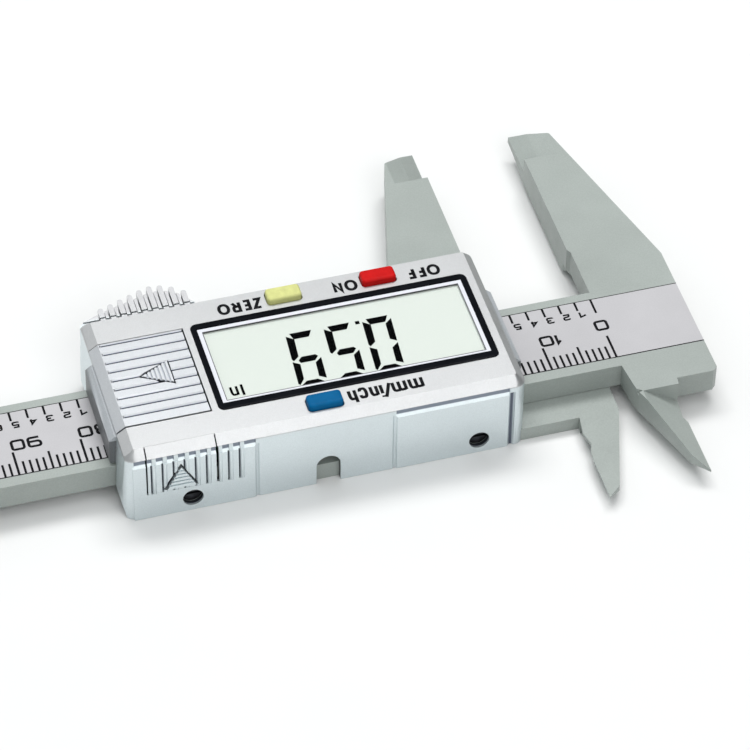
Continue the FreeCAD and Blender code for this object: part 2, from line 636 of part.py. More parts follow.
def make_port_door():
    x0, x1 = PORT
    y1 = HEAD_Y1
    # wall plate that turns over the bevel to the front face
    bevel_z = HEAD_Z1 - (PORT_LEDGE_Y - (y1 - HEAD_CHAMFER))
    profile = [
        (y1 - WALL, PORT_Z0),
        (y1 + PAD_RISE, PORT_Z0),
        (y1 + PAD_RISE, PAD_TOP),
        (y1 - PAD_GROOVE, PAD_TOP + PAD_BEVEL),
        (y1 - PAD_GROOVE, BEVEL_FOOT_Z - 0.25),
        (y1 + 0.02, BEVEL_FOOT_Z),
        (PORT_LEDGE_Y, bevel_z),
        (PORT_LEDGE_Y, ROOF_Z0 - 0.1),
        (y1 - WALL, 5.2),
    ]
    door = prism_yz(profile, x0, x1)
    door = fuse([door] + [wall_rib(i, PORT_Z0) for i in range(3, 9)])
    for i in range(3, 9):
        door = door.cut(rib_slot(i, PORT_Z0))
    # pocket with the raised, ribbed arrow that points to the front face
    pocket = wall_triangle(-2.5, 2.8, -1.15, 3.5, y1 + PAD_RISE - 0.45, y1 + 1.0)
    arrow = wall_triangle(-2.15, 2.1, -1.15, 2.9, y1 - 0.6, y1 + 0.3)
    door = fuse([door.cut(pocket), arrow])
    over_arrow = wall_triangle(-2.15, 2.1, -1.15, 2.9, y1 - 1.0, y1 + 1.0)
    for i in range(5):
        z = -0.6 + 0.68 * i
        rill = box(ARROW_X - 3.0, ARROW_X + 3.0, y1 + 0.05, y1 + 1.0, z, z + 0.24)
        door = door.cut(rill.common(over_arrow))
    # tongues behind the wall
    for xa, xb in ((x0 - 0.6, x0 + 0.4), (x1 - 0.4, x1 + 0.6)):
        door = fuse([door, box(xa, xb, 5.65, 6.15, 0.5, 1.2)])
    for xa, xb in ((x0, x0 + 0.4), (x1 - 0.4, x1)):
        door = fuse([door, box(xa, xb, 5.65, 6.3, 0.5, 1.2)])
    return door


# ---- reading head: display ---------------------------------------------------------
def make_bezel():
    x0, x1, y0, y1 = BEZEL
    frame = rounded_box(x0 + 0.02, x1 - 0.02, y0 + 0.02, y1 - 0.02, BEZEL_Z0, BEZEL_Z1, 1.0)
    frame = frame.makeChamfer(0.18, edges_at_z(frame, BEZEL_Z1))
    x0, x1, y0, y1 = WINDOW
    return frame.cut(box(x0, x1, y0, y1, 0.0, 9.0))


def make_window():
    x0, x1, y0, y1 = WINDOW
    return box(x0 + 0.02, x1 - 0.02, y0 + 0.02, y1 - 0.02, WINDOW_Z0, WINDOW_Z1)


def make_lcd():
    x0, x1, y0, y1 = WINDOW
    rear = box(x0 + 0.1, x1 - 0.1, y0 + 0.1, y1 - 0.1, LCD_Z0, LCD_MID_Z)
    front = box(x0 + 0.1, x1 - 0.1, y0 + 0.6, y1 - 0.1, LCD_MID_Z, LCD_Z1)
    return fuse([rear, front])


def make_lcd_holder():
    """Plastic frame between the board and the display glass."""
    x0, x1, y0, y1 = WINDOW
    frame = box(x0 + 0.1, x1 - 0.1, y0 + 0.1, y1 - 0.1, PCB_Z1, LCD_Z0)
    inside = box(x0 + 1.1, x1 - 1.1, y0 + 3.2, y1 - 1.1, 0.0, 9.0)
    strip = box(x0 + 1.1, x1 - 1.1, y0 + 0.7, y0 + 2.4, 0.0, 9.0)
    return frame.cut(inside).cut(strip)


def make_zebra():
    x0, x1, y0, y1 = WINDOW
    return box(x0 + 1.3, x1 - 1.3, y0 + 0.85, y0 + 2.25, PCB_Z1, LCD_Z0)


# ---- reading head: electronics -----------------------------------------------------
def make_pcb():
    main = box(18.0, 61.6, -20.9, 5.55, PCB_Z0, PCB_Z1)
    arm = box(61.6, 74.3, 2.6, 5.55, PCB_Z0, PCB_Z1)
    board = fuse([main, arm])
    for x, y in CASE_SCREWS:
        board = board.cut(rod_z(x, y, BOSS_R + 0.1, 0.0, 3.0))
    return board


def make_sensor_pads():
    """Row of copper electrodes under the board, facing the stator."""
    pads = []
    for i in range(16):
        x = 23.0 + 2.2 * i
        pads.append(box(x, x + 1.6, -11.6, -2.2, PCB_Z0 - 0.07, PCB_Z0))
    return Part.makeCompound(pads)


def make_chip():
    blob = Part.makeSphere(7.0, V(38.0, -6.5, PCB_Z1 - 5.6))
    return blob.common(box(30.0, 46.0, -15.0, 2.0, PCB_Z1, 4.0))


def make_crystal():
    return Part.makeCylinder(1.0, 6.0, V(50.5, -9.5, PCB_Z1 + 1.0), V(1, 0, 0))


def make_capacitors():
    parts = []
    for x, y in ((27.0, -9.5), (27.0, -6.5), (50.0, -5.5), (53.5, -5.5)):
        parts.append(box(x, x + 2.0, y, y + 1.25, PCB_Z1, PCB_Z1 + 0.9))
    return Part.makeCompound(parts)


def make_domes():
    """Snap domes on the board below the buttons."""
    domes = []
    for x, y in BUTTONS.values():
        ball = Part.makeSphere(2.6, V(x, y, PCB_Z1 - 2.2))
        domes.append(ball.common(box(x - 3.0, x + 3.0, y - 1.3, y + 1.3, PCB_Z1, PCB_Z1 + 1.0)))
    return Part.makeCompound(domes)


def make_button(x, y):
    cap = rounded_box(x - BUTTON_L / 2.0, x + BUTTON_L / 2.0, y - BUTTON_W / 2.0, y + BUTTON_W / 2.0,
                      5.0, BUTTON_TOP, 0.55)
    cap = cap.makeFillet(0.45, edges_at_z(cap, BUTTON_TOP))
    flange = box(x - 3.2, x + 3.2, y - 1.8, y + 1.8, 5.0, ROOF_Z0 - 0.02)
    stem = rod_z(x, y, 0.9, 2.0, 5.2)
    return fuse([cap, flange, stem])


def make_cell():
    x, y = CELL_POS
    can = rod_z(x, y, CELL_R, 1.1, CELL_Z0 + CELL_H)
    can = can.makeFillet(0.4, edges_at_z(can, CELL_Z0 + CELL_H))
    cap = rod_z(x, y, CELL_R - 0.9, CELL_Z0, 1.1)
    return fuse([can, cap])


def make_contacts():
    """Negative plate under the cell, and positive spring leaf beside it."""
    x, y = CELL_POS
    plate_z0 = CELL_Z0 - 0.18
    minus = fuse([rod_z(x, y, 4.6, plate_z0, CELL_Z0), box(61.7, x, y - 1.5, y + 1.5, plate_z0, CELL_Z0)])
    leaf_x = x - CELL_R
    plus = fuse([
        box(leaf_x - 0.22, leaf_x - 0.02, -5.8, 2.2, 1.2, 3.9),
        box(leaf_x - 0.22, leaf_x + 2.0, 2.0, 2.2, 1.2, 3.9),
    ])
    return Part.makeCompound([minus, plus])


def make_port_contacts():
    strips = []
    for i in range(4):
        x = 65.1 + 1.75 * i
        strips.append(box(x, x + 0.9, 3.2, 5.4, PCB_Z1, PCB_Z1 + 0.25))
    return Part.makeCompound(strips)


def make_case_screws():
    screws = []
    for x, y in CASE_SCREWS:
        head = rod_z(x, y, SCREW_HEAD_R, -6.2, -5.0)
        shank = rod_z(x, y, SHANK_R, -5.0, 3.4)
        screws.append(fuse([head, shank]).cut(cross_slot(x, y, -6.5, -5.6)))
    return Part.makeCompound(screws)


# ---- depth rod ---------------------------------------------------------------------
def make_depth_rod():
    z0 = -BEAM_T + 0.08
    z1 = z0 + ROD_T
    rod = box(ROD_X0, ROD_X1, ROD_Y - ROD_W / 2.0, ROD_Y + ROD_W / 2.0, z0, z1)
    # relieved corner at the measuring end
    rod = rod.cut(prism_xy([(ROD_X1 - 4.0, ROD_Y + 2.0), (ROD_X1 - 4.0, ROD_Y + 0.9),
                            (ROD_X1 - 3.4, ROD_Y + 0.3), (ROD_X1 + 1.0, ROD_Y + 0.3),
                            (ROD_X1 + 1.0, ROD_Y + 2.0)], -6.0, 0.0))
    return rod.cut(rod_z(ROD_SCREW_X, ROD_Y, TAPPED_R, -6.0, 0.0))


def make_rod_screw():
    head = rod_z(ROD_SCREW_X, ROD_Y, SCREW_HEAD_R, -6.15, -5.3)
    shank = rod_z(ROD_SCREW_X, ROD_Y, SHANK_R, -5.3, -2.95)
    slot = box(ROD_SCREW_X - 1.0, ROD_SCREW_X + 1.0, ROD_Y - DRIVE_W / 2.0, ROD_Y + DRIVE_W / 2.0, -6.3, -5.8)
    return fuse([head, shank]).cut(slot)


def make_rear_label():
    return box(20.6, 71.9, -13.95, 0.95, HEAD_Z0 + 0.05, HEAD_Z0 + 0.2)


def build():
    os.makedirs("parts", exist_ok=True)
    export("beam", make_beam())
    export("scale_label", make_label())
    export("stator_strip", make_stator())
    export("end_stop", make_end_stop())
    export("stop_screws", make_stop_screws())
    export("slider", make_slider())
    export("gib_strip", make_gib())
    export("gib_screws", make_gib_screws())
    export("front_cover", make_front_cover())
    export("battery_door", make_battery_door())
    export("port_door", make_port_door())
    export("display_bezel", make_bezel())
    export("display_window", make_window())
    export("lcd_glass", make_lcd())
    export("lcd_holder", make_lcd_holder())
    export("zebra_strip", make_zebra())
    export("main_pcb", make_pcb())
    export("sensor_pads", make_sensor_pads())
    export("chip_blob", make_chip())
    export("crystal_can", make_crystal())
    export("capacitors", make_capacitors())
    export("switch_domes", make_domes())
    for name, (x, y) in BUTTONS.items():
        export(name, make_button(x, y))
    export("button_cell", make_cell())
    export("battery_contacts", make_contacts())
    export("port_contacts", make_port_contacts())
    export("case_screws", make_case_screws())
    export("depth_rod", make_depth_rod())
    export("rod_screw", make_rod_screw())
    export("rear_label", make_rear_label())


build()
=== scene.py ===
import json
import math

import bmesh
import bpy
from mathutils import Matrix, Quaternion, Vector


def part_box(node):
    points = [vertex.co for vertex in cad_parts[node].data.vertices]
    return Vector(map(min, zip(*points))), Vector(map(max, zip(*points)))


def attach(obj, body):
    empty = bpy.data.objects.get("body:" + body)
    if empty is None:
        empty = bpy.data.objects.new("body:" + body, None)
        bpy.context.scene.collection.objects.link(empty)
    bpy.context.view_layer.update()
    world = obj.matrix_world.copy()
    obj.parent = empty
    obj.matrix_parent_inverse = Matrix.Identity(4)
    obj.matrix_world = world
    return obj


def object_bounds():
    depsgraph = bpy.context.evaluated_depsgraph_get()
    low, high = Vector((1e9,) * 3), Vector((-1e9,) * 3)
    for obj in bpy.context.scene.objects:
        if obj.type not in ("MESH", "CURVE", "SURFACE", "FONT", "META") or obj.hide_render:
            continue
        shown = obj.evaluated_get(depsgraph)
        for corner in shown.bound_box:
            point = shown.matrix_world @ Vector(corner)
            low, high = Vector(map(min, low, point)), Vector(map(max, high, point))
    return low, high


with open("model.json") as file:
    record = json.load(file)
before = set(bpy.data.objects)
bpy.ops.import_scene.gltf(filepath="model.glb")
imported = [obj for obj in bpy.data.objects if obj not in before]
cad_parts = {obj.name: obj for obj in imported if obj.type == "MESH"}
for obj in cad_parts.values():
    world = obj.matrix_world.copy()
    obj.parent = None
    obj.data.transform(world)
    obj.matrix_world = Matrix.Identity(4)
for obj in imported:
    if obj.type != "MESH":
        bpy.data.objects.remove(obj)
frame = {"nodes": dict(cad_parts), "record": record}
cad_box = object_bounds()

# Digital caliper. Places are in millimetres from the zero line of the printed scale:
# X along the scale, Y from the edge that the millimetre lines stand on.
MM = 0.001
SCALE_START = 13.6      # the scale film starts this far before the zero line
RANGE = 150             # the lines end here, the film goes on to the end of the beam

LABEL_LOW, LABEL_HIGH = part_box("scale_label")
ZERO_X = LABEL_LOW.x + SCALE_START * MM
EDGE_Y = LABEL_HIGH.y
LABEL_TOP = LABEL_HIGH.z
LABEL_WIDTH = (LABEL_HIGH.y - LABEL_LOW.y) / MM
LABEL_LENGTH = (LABEL_HIGH.x - LABEL_LOW.x) / MM
COVER_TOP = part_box("front_cover")[1].z
WINDOW_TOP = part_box("display_window")[1].z
LCD_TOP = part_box("lcd_glass")[1].z

INK = 0.015 * MM        # thickness of a printed mark
NODES = frame["nodes"]

# Outer skin of the head's shell in scale millimetres: (outward normal, a point on the plane).
ROOF_Z = 6.8
BEVEL_Z = 5.5
SKIN = [
    ((0, 0, 1), (0, 0, ROOF_Z)),
    ((0, 1, 0), (0, 7.1, 0)),
    ((0, -1, 0), (0, -22.2, 0)),
    ((-1, 0, 0), (16.3, 0, 0)),
    ((0, 1, 1), (0, 7.1, BEVEL_Z)),
    ((0, -1, 1), (0, -22.2, BEVEL_Z)),
    ((-1, 0, 1), (16.3, 0, BEVEL_Z)),
    ((1.0, 0, 1.4), (74.5, 0, ROOF_Z)),
    ((9.6, 0, 0.6), (75.9, 0, 5.8)),
]
SKIN_CORNERS = [        # upright corners: centre x and y, radius, side in x and in y
    (17.9, 5.5, 1.6, -1, 1),
    (17.9, -20.6, 1.6, -1, -1),
    (74.2, 4.8, 2.3, 1, 1),
    (74.2, -19.9, 2.3, 1, -1),
]
GAP_SHADE_DEPTH = (0.2, 0.32)     # painted shade: gaps and holes darken between these depths below the skin
LACQUER_METAL = 0.8
ROOF_SILVER = (0.505, 0.51, 0.515)
DOOR_SILVER = (0.525, 0.54, 0.56)
# painted light: the walls below WALL_TOP_Z are painted lighter and bluer than the roof
WALL_LIT_SILVER = (0.71, 0.775, 0.795)
GAP_SHADE_BLUE = (0.16, 0.22, 0.40)    # painted shade, bluish, where the gaps begin to darken
HUMP_GREY = (0.54, 0.54, 0.55)
WALL_TOP_Z = 5.2                # the walls' painted light ends here, and the roof's colour starts at BEVEL_Z
FAR_WALL_Y = -23.5              # beyond this the thumb hump is a plain grey
HUMP_BLEND = 1.5                # length over which the grey takes over

COLLAR_PAINT_Z = (0.28, 0.32)   # the collars' paint starts between these heights
COLLAR_LIT_TOP_Z = (4.6, 4.7)     # and the painted highlight of their bevelled top starts between these; below it the upright faces carry painted shade
# painted shade on the collars' upright faces and painted light on their bevelled tops, over their
# grey paint
COLLAR_SHADED_GREY = (0.115, 0.122, 0.128)
COLLAR_LIT_TOP_GREY = (0.36, 0.38, 0.40)


def spot(x, y, z):
    """A point given in scale millimetres, in metres in the frame."""
    return Vector((ZERO_X + x * MM, EDGE_Y + y * MM, LABEL_TOP + z * MM))


# ---- shader helpers ----------------------------------------------------------------
class Shader:
    """A material with one Principled shader and short calls for what feeds it."""

    def __init__(self, name, colour, roughness, metallic=0.0, specular=0.5):
        self.material = bpy.data.materials.new(name)
        self.material.use_nodes = True
        self.tree = self.material.node_tree
        self.tree.nodes.clear()
        self.output = self.tree.nodes.new("ShaderNodeOutputMaterial")
        self.bsdf = self.tree.nodes.new("ShaderNodeBsdfPrincipled")
        self.tree.links.new(self.bsdf.outputs["BSDF"], self.output.inputs["Surface"])
        self.set("Base Color", (*colour, 1.0))
        self.set("Roughness", roughness)
        self.set("Metallic", metallic)
        self.set("Specular IOR Level", specular)
        self.place = self.tree.nodes.new("ShaderNodeTexCoord").outputs["Object"]
        self.height = None
        self.material.diffuse_color = (*colour, 1.0)

    def set(self, socket, value):
        self.bsdf.inputs[socket].default_value = value

    def feed(self, socket, source):
        self.tree.links.new(source, self.bsdf.inputs[socket])

    def stretched(self, sx, sy, sz):
        """Object coordinates, stretched, for brushed or drawn surfaces."""
        node = self.tree.nodes.new("ShaderNodeMapping")
        self.tree.links.new(self.place, node.inputs["Vector"])
        node.inputs["Scale"].default_value = (sx, sy, sz)
        return node.outputs["Vector"]

    def noise(self, size_mm, detail=3.0, roughness=0.55, where=None):
        """Noise whose blotches are about size_mm across."""
        node = self.tree.nodes.new("ShaderNodeTexNoise")
        self.tree.links.new(where or self.place, node.inputs["Vector"])
        node.inputs["Scale"].default_value = 1.0 / (size_mm * MM)
        node.inputs["Detail"].default_value = detail
        node.inputs["Roughness"].default_value = roughness
        return node.outputs["Fac"]

    def grains(self, size_mm):
        """A random value for each small cell, such as a metal flake."""
        node = self.tree.nodes.new("ShaderNodeTexVoronoi")
        self.tree.links.new(self.place, node.inputs["Vector"])
        node.inputs["Scale"].default_value = 1.0 / (size_mm * MM)
        return node.outputs["Color"]

    def spread(self, source, low, high, to_low, to_high):
        """source's values from low to high, spread over to_low to to_high."""
        node = self.tree.nodes.new("ShaderNodeMapRange")
        self.tree.links.new(source, node.inputs["Value"])
        node.inputs["From Min"].default_value = low
        node.inputs["From Max"].default_value = high
        node.inputs["To Min"].default_value = to_low
        node.inputs["To Max"].default_value = to_high
        return node.outputs["Result"]

    def ramp(self, source, *stops):
        """Colours at places along source's values: (place, colour) pairs."""
        node = self.tree.nodes.new("ShaderNodeValToRGB")
        self.tree.links.new(source, node.inputs["Fac"])
        elements = node.color_ramp.elements
        while len(elements) < len(stops):
            elements.new(0.5)
        for element, (place, colour) in zip(elements, stops):
            element.position = place
            element.color = (*colour, 1.0)
        return node.outputs["Color"]

    def mix(self, factor, a, b, how="MIX"):
        """Two colours mixed; each may be an output or a plain colour."""
        node = self.tree.nodes.new("ShaderNodeMix")
        node.data_type = "RGBA"
        node.blend_type = how
        inputs = node.inputs
        for socket, value in ((inputs[0], factor), (inputs[6], a), (inputs[7], b)):
            if isinstance(value, bpy.types.NodeSocket):
                self.tree.links.new(value, socket)
            elif isinstance(value, tuple):
                socket.default_value = (*value, 1.0)
            else:
                socket.default_value = value
        return node.outputs[2]

    def maths(self, operation, a, b):
        node = self.tree.nodes.new("ShaderNodeMath")
        node.operation = operation
        for socket, value in zip(node.inputs, (a, b)):
            if isinstance(value, bpy.types.NodeSocket):
                self.tree.links.new(value, socket)
            else:
                socket.default_value = value
        return node.outputs["Value"]

    def above_label(self):
        """Height above the printed face, in metres."""
        split = self.tree.nodes.new("ShaderNodeSeparateXYZ")
        self.tree.links.new(self.place, split.inputs["Vector"])
        return self.maths("SUBTRACT", split.outputs["Z"], LABEL_TOP)

    def past_edge(self):
        """Distance in Y from the edge the millimetre lines stand on, in metres."""
        split = self.tree.nodes.new("ShaderNodeSeparateXYZ")
        self.tree.links.new(self.place, split.inputs["Vector"])
        return self.maths("SUBTRACT", split.outputs["Y"], EDGE_Y)

    def depth_below(self, planes):
        """How deep a point lies below the nearest of the (outward normal, point) planes."""
        nearest = None
        for normal, point in planes:
            out = Vector(normal).normalized()
            dot = self.tree.nodes.new("ShaderNodeVectorMath")
            dot.operation = "DOT_PRODUCT"
            self.tree.links.new(self.place, dot.inputs[0])
            dot.inputs[1].default_value = out
            depth = self.maths("SUBTRACT", out.dot(spot(*point)), dot.outputs["Value"])
            nearest = depth if nearest is None else self.maths("MINIMUM", nearest, depth)
        return nearest

    def bump(self, source, depth_mm):
        """Adds a relief of about depth_mm to the surface."""
        node = self.tree.nodes.new("ShaderNodeBump")
        self.tree.links.new(source, node.inputs["Height"])
        node.inputs["Distance"].default_value = depth_mm * MM
        node.inputs["Strength"].default_value = 1.0
        if self.height is not None:
            self.tree.links.new(self.height, node.inputs["Normal"])
        self.height = node.outputs["Normal"]
        self.feed("Normal", self.height)


def shade(colour, factor):
    return tuple(min(1.0, channel * factor) for channel in colour)


# ---- materials ---------------------------------------------------------------------
def moulded(name, colour, roughness=0.45, grain_mm=0.25, depth_mm=0.004, mottle=0.05):
    """Injection-moulded plastic: fine spark-eroded texture and faint blotches."""
    s = Shader(name, colour, roughness)
    dark, light = shade(colour, 1.0 - mottle), shade(colour, 1.0 + mottle)
    s.feed("Base Color", s.ramp(s.noise(9.0, detail=4.0), (0.3, dark), (0.7, light)))
    s.feed("Roughness", s.spread(s.noise(2.5), 0.3, 0.7, roughness - 0.06, roughness + 0.08))
    s.bump(s.noise(grain_mm, detail=2.0), depth_mm)
    return s.material


def jaw_plastic(name, collars=False):
    """Greenish grey glass-filled plastic, satin, with fine fibre specks.

    The slider's collars, which stand above the printed face, are painted grey, with painted shade
    on their upright faces and a painted highlight on their bevelled tops.
    """
    colour = (0.330, 0.363, 0.342)
    s = Shader(name, colour, 0.42)
    blotch = s.noise(14.0, detail=5.0)
    base = s.ramp(blotch, (0.3, shade(colour, 0.93)), (0.7, shade(colour, 1.06)))
    speck = s.spread(s.noise(0.22, detail=2.0, roughness=0.7), 0.35, 0.65, 0.93, 1.05)
    plastic = s.mix(1.0, base, speck, "MULTIPLY")
    if collars:
        above = s.above_label()
        painted = s.spread(above, COLLAR_PAINT_Z[0] * MM, COLLAR_PAINT_Z[1] * MM, 0.0, 1.0)
        # painted light: bevelled tops lighter, upright faces darker as painted shade
        lit_top = s.spread(above, COLLAR_LIT_TOP_Z[0] * MM, COLLAR_LIT_TOP_Z[1] * MM, 0.0, 1.0)
        grey = s.mix(lit_top, COLLAR_SHADED_GREY, COLLAR_LIT_TOP_GREY)
        plastic = s.mix(painted, plastic, s.mix(1.0, grey, speck, "MULTIPLY"))
    s.feed("Base Color", plastic)
    s.feed("Roughness", s.spread(s.noise(3.0), 0.3, 0.7, 0.36, 0.5))
    s.bump(s.noise(0.3, detail=3.0), 0.006)
    s.bump(s.noise(5.0, detail=2.0), 0.03)
    return s.material


def skin_planes():
    """The shell's outer planes, with flats that stand in for its rounded corners."""
    planes = list(SKIN)
    for x, y, radius, side_x, side_y in SKIN_CORNERS:
        reach = radius * math.sqrt(0.5)
        point = (x + side_x * reach, y + side_y * reach, BEVEL_Z)
        planes.append(((side_x, side_y, 0.0), point))
        planes.append(((side_x, side_y, math.sqrt(2.0)), point))
    return planes


def shell_lacquer(name, roof=ROOF_SILVER):
    """Silver lacquer on the shell's outer skin. Painted light: the walls are painted lighter and
    bluer than the roof, and gaps and holes deeper than the skin get painted shade, bluish and then
    near black.
    """
    s = Shader(name, roof, 0.38, metallic=LACQUER_METAL)
    flake = s.spread(s.grains(0.09), 0.0, 1.0, 0.93, 1.04)
    # painted light: walls lighter and bluer than the roof, which share one lacquer
    on_roof = s.spread(s.above_label(), WALL_TOP_Z * MM, BEVEL_Z * MM, 0.0, 1.0)
    tint = s.mix(on_roof, WALL_LIT_SILVER, roof)
    off_hump = s.spread(s.past_edge(), FAR_WALL_Y * MM, (FAR_WALL_Y + HUMP_BLEND) * MM, 0.0, 1.0)
    tint = s.mix(off_hump, HUMP_GREY, tint)
    cloud = s.spread(s.noise(16.0, detail=4.0), 0.3, 0.7, 0.97, 1.03)
    silver = s.mix(1.0, s.mix(1.0, tint, cloud, "MULTIPLY"), flake, "MULTIPLY")
    # painted shade: deeper than the skin, gaps and holes turn bluish, then near black, and lose
    # their metal
    gap_shade = s.ramp(s.noise(1.5), (0.3, (0.012, 0.014, 0.018)), (0.7, (0.022, 0.025, 0.030)))
    depth = s.depth_below(skin_planes())
    in_gap_shade = s.spread(depth, GAP_SHADE_DEPTH[0] * MM, GAP_SHADE_DEPTH[1] * MM, 0.0, 1.0)
    gap_shade_edge = s.mix(in_gap_shade, silver, GAP_SHADE_BLUE)
    s.feed("Base Color", s.mix(in_gap_shade, gap_shade_edge, gap_shade))
    s.feed("Metallic", s.spread(in_gap_shade, 0.0, 1.0, LACQUER_METAL, 0.0))
    s.feed("Roughness", s.spread(s.grains(0.12), 0.0, 1.0, 0.32, 0.46))
    s.bump(s.noise(0.35, detail=2.0), 0.003)
    return s.material


def scale_film():
    """Silver printed film with a fine grain."""
    colour = (0.455, 0.447, 0.462)
    s = Shader("label_silver", colour, 0.4, metallic=0.1)
    blotch = s.noise(11.0, detail=4.0)
    cloud = s.ramp(blotch, (0.3, shade(colour, 0.96)), (0.7, shade(colour, 1.05)))
    grain = s.spread(s.noise(0.16, detail=2.0, roughness=0.8), 0.3, 0.7, 0.95, 1.05)
    s.feed("Base Color", s.mix(1.0, cloud, grain, "MULTIPLY"))
    s.feed("Roughness", s.spread(s.noise(0.3), 0.3, 0.7, 0.34, 0.48))
    s.bump(s.noise(0.2, detail=2.0), 0.002)
    return s.material


def ink(name, colour=(0.004, 0.004, 0.005), specular=0.06):
    """Pad-printed ink, slightly uneven."""
    s = Shader(name, colour, 0.5, specular=specular)
    uneven = s.noise(0.4, detail=3.0)
    s.feed("Base Color", s.ramp(uneven, (0.3, colour), (0.75, shade(colour, 1.9))))
    s.feed("Roughness", s.spread(uneven, 0.3, 0.7, 0.35, 0.55))
    return s.material


def brushed(name, colour, roughness=0.32, along=(1.0, 18.0, 18.0)):
    """Ground or brushed metal with streaks along X."""
    s = Shader(name, colour, roughness, metallic=1.0)
    streak = s.noise(3.0, detail=4.0, where=s.stretched(*along))
    s.feed("Base Color", s.ramp(streak, (0.25, shade(colour, 0.86)), (0.75, shade(colour, 1.08))))
    s.feed("Roughness", s.spread(streak, 0.3, 0.7, roughness - 0.08, roughness + 0.12))
    s.bump(streak, 0.004)
    return s.material


def gloss_black():
    """Polished black display frame with faint handling marks."""
    s = Shader("bezel_black", (0.004, 0.005, 0.007), 0.2, specular=0.06)
    smear = s.noise(4.0, detail=5.0, roughness=0.7)
    s.feed("Base Color", s.ramp(smear, (0.3, (0.003, 0.0035, 0.005)), (0.8, (0.007, 0.008, 0.011))))
    s.feed("Roughness", s.spread(smear, 0.3, 0.75, 0.1, 0.2))
    s.bump(s.noise(6.0, detail=1.0), 0.01)
    return s.material


def clear_window():
    """Thin clear window: see-through, and glossy at flat angles."""
    s = Shader("window_clear", (0.95, 0.97, 0.96), 0.05)
    tree = s.tree
    clear = tree.nodes.new("ShaderNodeBsdfTransparent")
    clear.inputs["Color"].default_value = (0.985, 0.99, 0.985, 1.0)
    gloss = tree.nodes.new("ShaderNodeBsdfGlossy")
    gloss.inputs["Roughness"].default_value = 0.04
    facing = tree.nodes.new("ShaderNodeLayerWeight").outputs["Facing"]
    sheen = s.spread(s.maths("POWER", facing, 5.0), 0.0, 1.0, 0.004, 0.5)
    mixer = tree.nodes.new("ShaderNodeMixShader")
    tree.links.new(sheen, mixer.inputs["Fac"])
    tree.links.new(clear.outputs["BSDF"], mixer.inputs[1])
    tree.links.new(gloss.outputs["BSDF"], mixer.inputs[2])
    tree.links.new(mixer.outputs["Shader"], s.output.inputs["Surface"])
    tree.nodes.remove(s.bsdf)
    return s.material


def lcd_cell():
    """Pale grey-green liquid crystal cell with its frosted reflector."""
    colour = (0.69, 0.725, 0.685)
    s = Shader("lcd", colour, 0.3)
    frost = s.noise(0.12, detail=2.0)
    s.feed("Base Color", s.ramp(frost, (0.3, shade(colour, 0.985)), (0.7, shade(colour, 1.015))))
    s.feed("Roughness", s.spread(frost, 0.3, 0.7, 0.26, 0.38))
    return s.material


def circuit_board(name, colour):
    """Solder mask over copper tracks."""
    s = Shader(name, colour, 0.3)
    tracks = s.noise(1.6, detail=1.0, where=s.stretched(1.0, 3.0, 1.0))
    s.feed("Base Color", s.ramp(tracks, (0.46, colour), (0.52, shade(colour, 1.55))))
    s.feed("Roughness", s.spread(s.noise(0.5), 0.3, 0.7, 0.22, 0.4))
    s.bump(tracks, 0.02)
    return s.material


def plated(name, colour, roughness=0.22):
    """Plated or stamped metal with fine wear."""
    s = Shader(name, colour, roughness, metallic=1.0)
    wear = s.noise(3.5, detail=2.0)
    s.feed("Base Color", s.ramp(wear, (0.3, shade(colour, 0.95)), (0.7, shade(colour, 1.03))))
    s.feed("Roughness", s.spread(wear, 0.3, 0.75, roughness, roughness + 0.07))
    s.bump(s.noise(0.3, detail=2.0), 0.0006)
    return s.material


def button_plastic(name, colour):
    """Glossy coloured button with soft wear on its crown."""
    s = Shader(name, colour, 0.4, specular=0.06)
    wear = s.noise(1.4, detail=5.0, roughness=0.65)
    s.feed("Base Color", s.ramp(wear, (0.3, shade(colour, 0.9)), (0.72, shade(colour, 1.12))))
    s.feed("Roughness", s.spread(wear, 0.3, 0.7, 0.3, 0.5))
    s.bump(s.noise(0.18, detail=2.0), 0.004)
    return s.material


